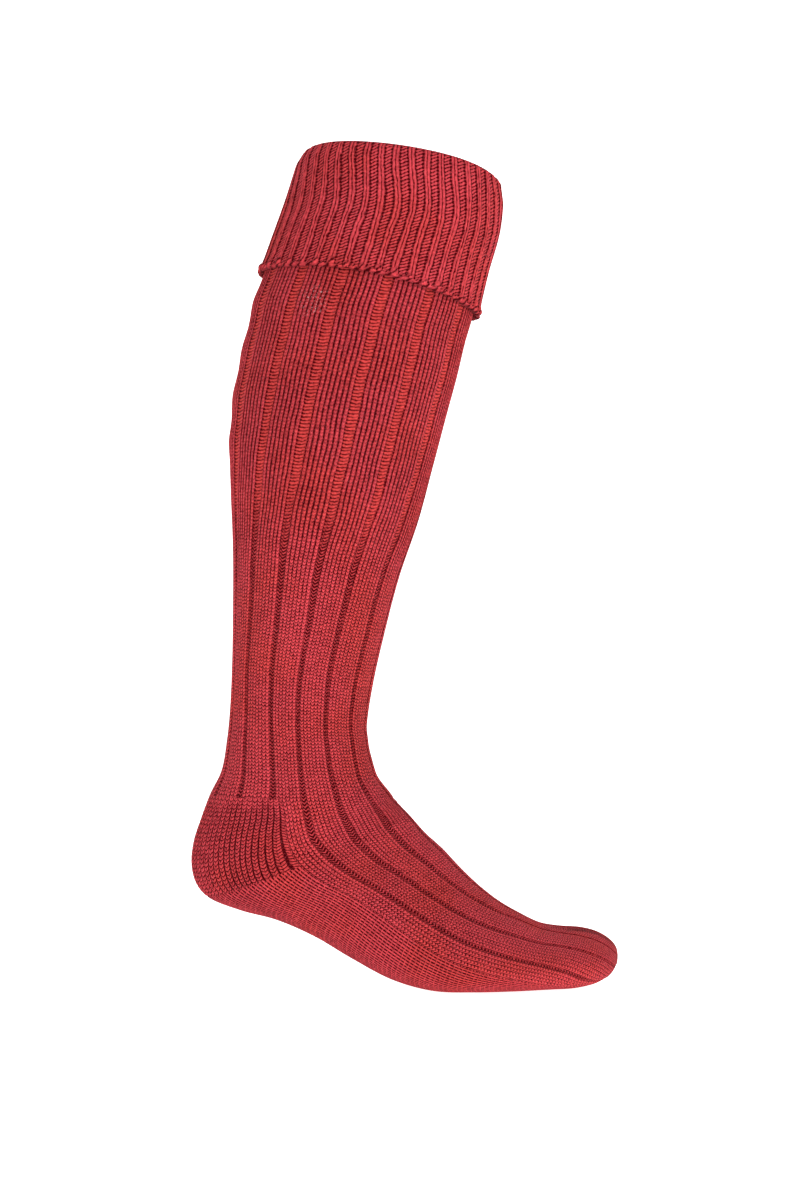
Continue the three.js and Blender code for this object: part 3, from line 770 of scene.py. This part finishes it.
def leg():
    fabric = Fabric("leg_knit")
    wales = np.arange(RIBS * WALES * STEPS) / STEPS - RIBS * WALES / 2
    top = row_below_mouth(CUFF_RETURN)
    hidden = row_below_mouth(CUFF_LENGTH - 9)
    rows = np.concatenate(
        [np.linspace(top, hidden, 6)[:-1], spaced_rows(hidden, HEEL_ROW, 176, SIDE_LENGTH)]
    )
    sections = Sections(rows)
    length = np.interp(rows, FINE_ROWS, SIDE_LENGTH)[:, None]
    shares = wale_shares(rows, sections, wales, False)
    loose = ease(120, 165, length) * (1 - ease(215, 250, length))
    amount = (0.1 + 0.15 * loose) * (1 - ease(350, 378, length)) * ease(80, 95, length)
    shares = shares + wander(wales, length, amount) / sections.perimeter[:, None]
    openness = stretch_of(sections)
    heights = knit_relief(wales, sections, openness)
    # the calf's back is slightly wavy, and the ankle's front is creased
    back = ease(0.36, 0.5, np.abs(shares - np.round(shares)))
    window = ease(75, 100, length) * (1 - ease(170, 200, length))
    heights = heights + 0.5 * back * window * np.sin(length / 4.6)
    front = 1 - ease(0.02, 0.14, np.abs(shares - np.round(shares) + 0.04))
    for at, deep in ANKLE_CREASES:
        heights = heights - deep * front * np.exp(-(((length - at) / 5.0) ** 2))
    points = raised(rows, shares, heights)
    u = np.append(wales, wales[-1] + 1 / STEPS)
    fabric.sheet(points, u, length / COURSE, OUTER_AREA, wrap=True, stretch=openness[:, None])
    coarse = np.linspace(top, HEEL_ROW, 26)
    around = np.tile(np.arange(96) / 96 - 0.5, (len(coarse), 1))
    inner_sheet(fabric, coarse, around, KNIT_WALL, INNER_AREA, wrap=True)
    fabric.build([ribbed, purl], "leg")


def instep_grid(rows):
    """The columns over the top of the foot."""
    edge = INSTEP_HALF * WALES
    last = math.floor(edge * STEPS)
    inside = np.arange(-last, last + 1) / STEPS
    wales = np.concatenate([[-edge], inside, [edge]])
    sections = Sections(rows)
    return wales, sections, wale_shares(rows, sections, wales, True)


def foot_edges(rows):
    """Shares of the instep's inner and outer edges, where the heel, sole and toe begin."""
    edge = INSTEP_HALF * WALES
    sections = Sections(rows)
    places = wale_shares(rows, sections, np.array([-edge, edge]), True)
    return places[:, 1:2], places[:, 0:1] + 1


def course_offset():
    leg_end = np.interp(HEEL_ROW, FINE_ROWS, SIDE_LENGTH)
    return leg_end - np.interp(HEEL_ROW, FINE_ROWS, INSTEP_LENGTH)


def instep():
    fabric = Fabric("instep_knit")
    rows = spaced_rows(HEEL_ROW, TOE_ROW, 190, INSTEP_LENGTH)
    wales, sections, shares = instep_grid(rows)
    length = (np.interp(rows, FINE_ROWS, INSTEP_LENGTH) + course_offset())[:, None]
    openness = stretch_of(sections) * 0.3
    openness = openness * ease(HEEL_ROW, HEEL_ROW + 1, rows) * (1 - ease(22, 25, rows))
    heights = knit_relief(wales, sections, openness)
    front = 1 - ease(0.02, 0.12, np.abs(shares - np.round(shares) + 0.03))
    down = length - length[0]
    for at, deep in INSTEP_CREASES:
        heights = heights - deep * front * np.exp(-(((down - at) / 2.6) ** 2))
    points = raised(rows, shares, heights)
    # painted shade: a dark streak along the top of the inner toes
    far = painted_toe_shade(shares - np.round(shares), rows)
    # painted light: the instep grows paler towards the toes
    painted_light = TOES_PAINTED_LIGHT * ease(22, TOE_ROW, rows)[:, None]
    fabric.sheet(
        points,
        wales,
        length / COURSE,
        OUTER_AREA,
        stretch=openness[:, None],
        dark=TOE_STREAK_SHADE * far - painted_light * (1 - far),
    )
    coarse = np.linspace(HEEL_ROW, TOE_ROW, 30)
    pick = np.linspace(0, len(wales) - 1, 42).astype(int)
    sections = Sections(coarse)
    around = wale_shares(coarse, sections, wales[pick], True)
    inner_sheet(fabric, coarse, around, KNIT_WALL, INNER_AREA)
    fabric.build([ribbed, purl], "instep")


def heel():
    fabric = Fabric("heel_knit")
    rows = spaced_rows(HEEL_ROW, MITRE_ROW, 170, HEEL_LENGTH)
    inner, outer = foot_edges(rows)
    places = np.linspace(0, HEEL_BRAIDS, HEEL_BRAIDS * 8 + 1)
    half = np.minimum(places, HEEL_BRAIDS - places) / (HEEL_BRAIDS / 2)
    way = ((rows - HEEL_ROW) / (MITRE_ROW - HEEL_ROW))[:, None] ** 1.2
    front = ease(0, 0.06, half) * (1 - ease(0.2, 0.5, half))
    spread = (0.42 * half * (1 - half) ** 2 + 0.055 * front) * way
    part = (half + spread) / 2
    part = np.where(places < HEEL_BRAIDS / 2, part, 1 - part)
    shares = inner + (outer - inner) * part
    length = np.interp(rows, FINE_ROWS, HEEL_LENGTH)[:, None]
    v = (length - length[0]) / HEEL_STITCH
    x = np.abs(places - np.round(places)) * 2  # 0 in a braid's middle
    legs = 1 - (2 * np.mod(v + 0.55 * x, 1) - 1) ** 2
    arm = 1 - (np.abs(x - 0.3) / 0.7) ** 2
    ragged = 3.2 + 2.2 * np.sin(np.round(places) * 2.4) + 1.2 * np.sin(np.round(places) * 5.3)
    start = ease(0, 4.5, length - length[0] - ragged)
    side = ease(0, 1.2, np.minimum(places, HEEL_BRAIDS - places))
    fade = ease(0.4, 0.75, half)  # the columns are felted towards the back
    heights = (arm * (0.65 + 0.35 * legs) - 0.9) * (1.05 - 0.45 * fade) * start * side
    end = ease(0, 2.2, length[-1] - length)
    heights = heights * end - 0.3 * (1 - end)
    points = raised(rows, shares, heights)
    gone = np.maximum(fade, 1 - start)
    fabric.sheet(points, places, v, OUTER_AREA, dark=0.05 - 0.14 * (1 - start), stretch=gone)
    coarse = np.linspace(HEEL_ROW, MITRE_ROW, 16)
    inner, outer = foot_edges(coarse)
    around = inner + (outer - inner) * np.linspace(0, 1, 30)
    inner_sheet(fabric, coarse, around, CUSHION_WALL, INNER_AREA)
    fabric.build([braided, purl], "heel")


def sole_relief(places):
    """Low ridges along the foot, one to each line of stitches."""
    return -SOLE_RIDGE * (2 * np.mod(places, 1) - 1) ** 2


def painted_under_shade(shares):
    """Painted shade: the knitting is a little darker under the foot, where shade falls."""
    return UNDER_FOOT_SHADE * ease(0.3, 0.42, np.abs(shares - np.round(shares)))


def sole():
    fabric = Fabric("sole_knit")
    rows = spaced_rows(MITRE_ROW, TOE_ROW, 190, HEEL_LENGTH)
    inner, outer = foot_edges(rows)
    places = np.linspace(0, SOLE_LINES, SOLE_LINES * 4 + 1)
    shares = inner + (outer - inner) * places / SOLE_LINES
    length = np.interp(rows, FINE_ROWS, HEEL_LENGTH)[:, None]
    v = length / SOLE_STITCH
    points = raised(rows, shares, sole_relief(places))
    # the sole's underside gets painted shade
    fabric.sheet(points, places, v, OUTER_AREA, dark=painted_under_shade(shares))
    coarse = np.linspace(MITRE_ROW, TOE_ROW, 24)
    inner, outer = foot_edges(coarse)
    around = inner + (outer - inner) * np.linspace(0, 1, 36)
    inner_sheet(fabric, coarse, around, CUSHION_WALL, INNER_AREA)
    fabric.build([purl, purl], "sole")


def painted_toe_shade(part, rows):
    """Painted shade: a soft dark streak along the top of the inner toes, where they lie in shade."""
    toes = (ease(27, 29, rows) * (1 - ease(31, 33.2, rows)))[:, None]
    return ease(0, 0.02, part) * (1 - ease(0.03, 0.13, part)) * toes


def toe():
    fabric = Fabric("toe_knit")
    rows = np.concatenate(
        [spaced_rows(TOE_ROW, TIP_ROW - 1, 52, INSTEP_LENGTH), np.linspace(TIP_ROW - 1, TIP_ROW, 9)[1:]]
    )
    wales, sections, shares = instep_grid(rows)
    length = (np.interp(rows, FINE_ROWS, INSTEP_LENGTH) + course_offset())[:, None]
    fade = 1 - ease(TIP_ROW - 2.4, TIP_ROW, rows)[:, None]
    heights = knit_relief(wales, sections, np.zeros(len(rows))) * fade
    top = raised(rows, shares, heights)
    part = shares - np.round(shares)
    # painted shade: a dark streak along the top of the inner toes
    far = painted_toe_shade(part, rows)
    # painted light: the toes are paler outside the streak
    dark = TOE_STREAK_SHADE * far - TOES_PAINTED_LIGHT * (1 - far)
    fabric.sheet(top, wales, length / COURSE, (0, 0.5, 1, 1), dark=dark)
    inner, outer = foot_edges(rows)
    places = np.linspace(0, SOLE_LINES, SOLE_LINES * 4 + 1)
    under = inner + (outer - inner) * places / SOLE_LINES
    along = np.interp(rows, FINE_ROWS, HEEL_LENGTH)[:, None]
    bottom = raised(rows, under, sole_relief(places) * fade)
    # painted shade under the toes, as under the sole
    shade = painted_under_shade(under) * fade
    fabric.sheet(bottom, places, along / SOLE_STITCH, (0, 0.12, 1, 0.5), slot=1, dark=shade)
    # the end, drawn together
    rim = np.concatenate([top[-1, ::4], bottom[-1, ::6]])
    middle = np.broadcast_to(rim.mean(axis=0), rim.shape)
    fabric.sheet(np.stack([rim, middle]), np.arange(len(rim)) / 3, 0, (0, 0.06, 0.5, 0.11), slot=1)
    coarse = np.linspace(TOE_ROW, TIP_ROW - 2, 8)
    around = np.tile(np.arange(72) / 72 - 0.5, (len(coarse), 1))
    inner_sheet(fabric, coarse, around, KNIT_WALL, (0, 0, 1, 0.05), wrap=True)
    fabric.build([ribbed, purl], "toe")


def cuff_lift(shares, hang):
    """How much higher a place on the cuff lies than if it hung evenly."""
    back = np.maximum(0, -np.cos(2 * math.pi * shares)) ** 3
    return hang * (EDGE_LIFT * np.sin(2 * math.pi * shares) ** 2 + 1.2 + 1.4 * back)


def corner(places, down):
    """Near the fold the cuff dips and draws in, most of all at the shin. Gives both, in mm."""
    part = places - np.round(places)
    shin = np.exp(-((part / 0.085) ** 2))
    calf = np.exp(-(((np.abs(part) - 0.5) / 0.08) ** 2))
    near = 1 - ease(0, 22, down)
    draw = 1 - ease(0, 10 + 6 * shin, down)
    return (1.6 * shin + 2.2 * calf) * near, (1.2 + 0.9 * shin + 1.2 * calf) * draw


def cuff_lean(down, places):
    """The cuff's ribs lean back near the fold, and wander a little."""
    lean = -0.02 * (1 - ease(0, 45, down))
    sway = 0.0009 * np.sin(down / 13 + places * 1.7) + 0.0005 * np.sin(down / 6.1 - places * 2.9)
    return lean + sway


def raised_each(below, shares, heights):
    """Like raised, but each point has its own distance below the mouth."""
    rows = row_below_mouth(below).ravel()
    flat = raised(rows, shares.ravel()[:, None], heights.ravel()[:, None])
    return flat.reshape(*below.shape, 3)


def ring(fabric, down, height, hang, columns, area, slot=0, ribs=None):
    """A sheet round the leg. down, height and hang are listed from its first line to its last."""
    travel = np.concatenate([[0], np.cumsum(np.hypot(np.diff(down), np.diff(height)))])
    down, height, hang, travel = (np.asarray(a, float)[:, None] for a in (down, height, hang, travel))
    places = np.arange(columns) / columns
    shares = places + cuff_lean(down, places * CUFF_RIBS)
    dip, draw = corner(places, down)
    below = down - cuff_lift(places, hang) + dip
    crest = ribs(places * CUFF_RIBS) if ribs else 0
    points = raised_each(below, shares, height + crest - draw)
    turn = np.append(places, 1) * (INSIDE_LINES if slot else CUFF_RIBS)
    v = (travel + below - down) / (SOLE_STITCH if slot else COURSE)
    fabric.sheet(points, turn, np.hstack([v, v[:, :1]]), area, slot=slot, wrap=True)


def twin_cords(places):
    """Relief of the cuff's ribs: two round cords side by side."""
    off = np.abs(places - np.round(places))
    cord = np.sqrt(np.maximum(0, 1 - ((off - CORD_HALF) / CORD_HALF) ** 2))
    return CORD_RISE * cord - 0.05


def cuff():
    fabric = Fabric("cuff_knit")
    outside = LAYER_GAP + CUFF_WALL - 0.8
    middle = (outside - KNIT_WALL) / 2
    hem = CUFF_LENGTH - EDGE_HEIGHT * 0.4
    rise = np.linspace(0, 1, 10)
    # over the fold and down to the hem
    turn = math.pi * rise
    fold_down = FOLD_RISE * 0.35 * (1 - np.sin(turn))
    fold_height = middle - (outside + KNIT_WALL) / 2 * np.cos(turn)
    body = np.linspace(0, 1, 84)[1:]
    down = np.concatenate([fold_down, fold_down[-1] + (hem - fold_down[-1]) * body])
    flare = 0.5 * ease(CUFF_LENGTH - 12, CUFF_LENGTH, down)
    height = np.concatenate([fold_height, np.full(len(body), outside)]) + flare
    hang = np.clip((down - FOLD_RISE) / (CUFF_LENGTH - FOLD_RISE), 0, 1)
    strength = ease(0, 4, np.concatenate([np.zeros(6), np.linspace(1, 5, 4), np.full(len(body), 5.0)]))

    def ribs(places):
        return twin_cords(places) * strength[:, None]

    ring(fabric, down, height, hang, CUFF_RIBS * 14, (0, 0.15, 1, 1), ribs=ribs)
    # behind the hem, up between the two layers, and the part inside the mouth
    back = np.linspace(hem, CUFF_WALL, 8)
    ring(
        fabric,
        back,
        np.full(8, LAYER_GAP),
        np.clip((back - FOLD_RISE) / (CUFF_LENGTH - FOLD_RISE), 0, 1),
        126,
        (0, 0.08, 1, 0.14),
        slot=1,
    )
    inside = np.linspace(CUFF_RETURN, fold_down[0], 6)
    ring(fabric, inside, np.full(6, -KNIT_WALL), np.zeros(6), 126, (0, 0, 1, 0.07), slot=1)
    fabric.build([cuff_yarn, purl], "cuff")


def edge_cord(fabric):
    """The chained cord, lumpy and a little wavy."""
    columns = CUFF_RIBS * 24
    turns = np.linspace(0, 2 * math.pi, 13)[:, None]
    places = np.arange(columns) / columns
    links = places * EDGE_LINKS
    uneven = 1 + 0.12 * np.sin(links * 1.7) + 0.1 * np.sin(links * 0.61 + 1)
    lump = (0.72 + 0.36 * np.abs(np.sin(math.pi * links))) * uneven
    down = CUFF_LENGTH - EDGE_HEIGHT / 2 - 0.2 - (EDGE_HEIGHT / 2) * np.sin(turns) * lump
    down = down + 0.21 * np.sin(math.pi * links)
    height = LAYER_GAP + EDGE_THICKNESS / 2 - (EDGE_THICKNESS / 2) * np.cos(turns) * lump
    shares = np.broadcast_to(places, down.shape)
    points = raised_each(down - cuff_lift(places, 1), shares, height)
    # the cord's lower half is darker: dark thread, with painted shade under the round cord
    lower = ease(-0.2, 0.9, -np.sin(turns))
    fabric.sheet(
        points,
        np.append(links, EDGE_LINKS),
        np.linspace(0, 1, 13)[:, None],
        (0, 0.4, 1, 1),
        wrap=True,
        flip=True,
        dark=0.5 * lower,
    )


def fan(fabric, k):
    """A fan of stitches that closes a rib of the cuff just above the cord. Every other is big."""
    big = k % 2 == 0
    wobble = math.sin(k * 2.3)
    wide = (2.0 + 0.4 * wobble if big else 1.3) / CUFF_ROUND
    tall = 4.2 + 0.8 * wobble if big else 2.4
    thick = 1.75 if big else 1.0
    half = np.linspace(0, math.pi, FAN_LINES)[:, None]
    around = np.linspace(0, 2 * math.pi, FAN_SIDES + 1)[:-1]
    narrowing = np.linspace(1.25, 0.6, FAN_LINES)[:, None]
    shares = k / 2 / CUFF_RIBS + wide * np.sin(half) * np.cos(around) * narrowing
    down = CUFF_LENGTH - EDGE_HEIGHT + 1.1 + tall * (np.cos(half) - 1) / 2
    height = LAYER_GAP + CUFF_WALL - 0.3 + np.sin(half) * np.sin(around) * thick
    points = raised_each(down - cuff_lift(shares, 1), shares, height)
    x = (k % CUFF_RIBS) / CUFF_RIBS
    y = 0.02 + 0.15 * (k // CUFF_RIBS)
    fabric.sheet(
        points,
        np.linspace(0, 2, FAN_SIDES + 1),
        np.linspace(0, 1, FAN_LINES)[:, None],
        (x, y, x + 0.02, y + 0.13),
        wrap=True,
        flip=True,
    )


def bound_edge():
    fabric = Fabric("bound_edge_cord")
    edge_cord(fabric)
    for k in range(CUFF_RIBS * 2):
        fan(fabric, k)
    fabric.build([edge_yarn], "bound_edge")


for make in (leg, instep, heel, sole, toe, cuff, bound_edge):
    make()

# Stage, in metres

FLOOR_DROP = 0.0045  # below the sock
HALF_WIDTH = 4.0
FLOOR_FRONT = -3.0
CURVE_START = 1.2
CURVE_RADIUS = 0.8
WALL_TOP = 4.0
BACKDROP_GREY = (0.8, 0.8, 0.8, 1)
BACKDROP_GLOW = 1.2
# Name, place, what it points at, size and power
LIGHTS = (
    ("key", (-1.5, -2.0, 0.0), (0, 0, -0.3), 1.3, 15.5),
    ("fill", (1.4, -1.5, 0.55), (0.08, 0, -0.45), 1.1, 19.5),
)
WORLD_WHITE = (1, 1, 1, 1)
WORLD_LIGHT = 0.42
CAMERA_PLACE = (-0.0018, -1.071, -0.2576)
FOCAL_LENGTH = 54  # millimetres, as is the sensor's width
SENSOR_WIDTH = 36


def plain_material(name, colour, glow):
    g = Graph(name)
    shader = g.node(
        "ShaderNodeBsdfPrincipled",
        {"Base Color": colour, "Roughness": 0.9, "Emission Color": colour, "Emission Strength": glow},
    )
    out = g.node("ShaderNodeOutputMaterial")
    g.tree.links.new(shader.outputs[0], out.inputs[0])
    return g.material


def backdrop():
    """A pale floor that curves up into a wall."""
    floor = GROUND * MM - FLOOR_DROP
    line = [(FLOOR_FRONT, floor), (CURVE_START, floor)]
    for turn in np.linspace(0, math.pi / 2, 16)[1:]:
        back = CURVE_START + CURVE_RADIUS * math.sin(turn)
        line.append((back, floor + CURVE_RADIUS * (1 - math.cos(turn))))
    line.append((CURVE_START + CURVE_RADIUS, WALL_TOP))
    points = [(x, y, z) for x in (-HALF_WIDTH, HALF_WIDTH) for y, z in line]
    n = len(line)
    faces = [(i, i + n, i + n + 1, i + 1) for i in range(n - 1)]
    mesh = bpy.data.meshes.new("backdrop")
    mesh.from_pydata(points, [], faces)
    mesh.polygons.foreach_set("use_smooth", [True] * len(faces))
    mesh.materials.append(plain_material("backdrop", BACKDROP_GREY, BACKDROP_GLOW))
    obj = bpy.data.objects.new("backdrop", mesh)
    bpy.context.scene.collection.objects.link(obj)


def area_light(name, place, target, size, power):
    data = bpy.data.lights.new(name, "AREA")
    data.shape = "DISK"
    data.size = size
    data.energy = power
    obj = bpy.data.objects.new(name, data)
    bpy.context.scene.collection.objects.link(obj)
    obj.location = place
    direction = [t - p for t, p in zip(target, place)]
    obj.rotation_mode = "QUATERNION"
    obj.rotation_quaternion = Vector(direction).to_track_quat("-Z", "Y")


backdrop()
for light in LIGHTS:
    area_light(*light)

world = bpy.data.worlds.new("studio")
bpy.context.scene.world = world
world.use_nodes = True
background = world.node_tree.nodes["Background"]
background.inputs["Color"].default_value = WORLD_WHITE
background.inputs["Strength"].default_value = WORLD_LIGHT

camera = bpy.data.cameras.new("camera")
camera.lens = FOCAL_LENGTH
camera.sensor_width = SENSOR_WIDTH
camera.clip_start = 0.01
camera.clip_end = 20
camera.dof.use_dof = False
camera_object = bpy.data.objects.new("camera", camera)
bpy.context.scene.collection.objects.link(camera_object)
camera_object.location = CAMERA_PLACE
camera_object.rotation_euler = (math.pi / 2, 0, 0)
bpy.context.scene.camera = camera_object
bpy.context.scene.view_settings.view_transform = "Standard"
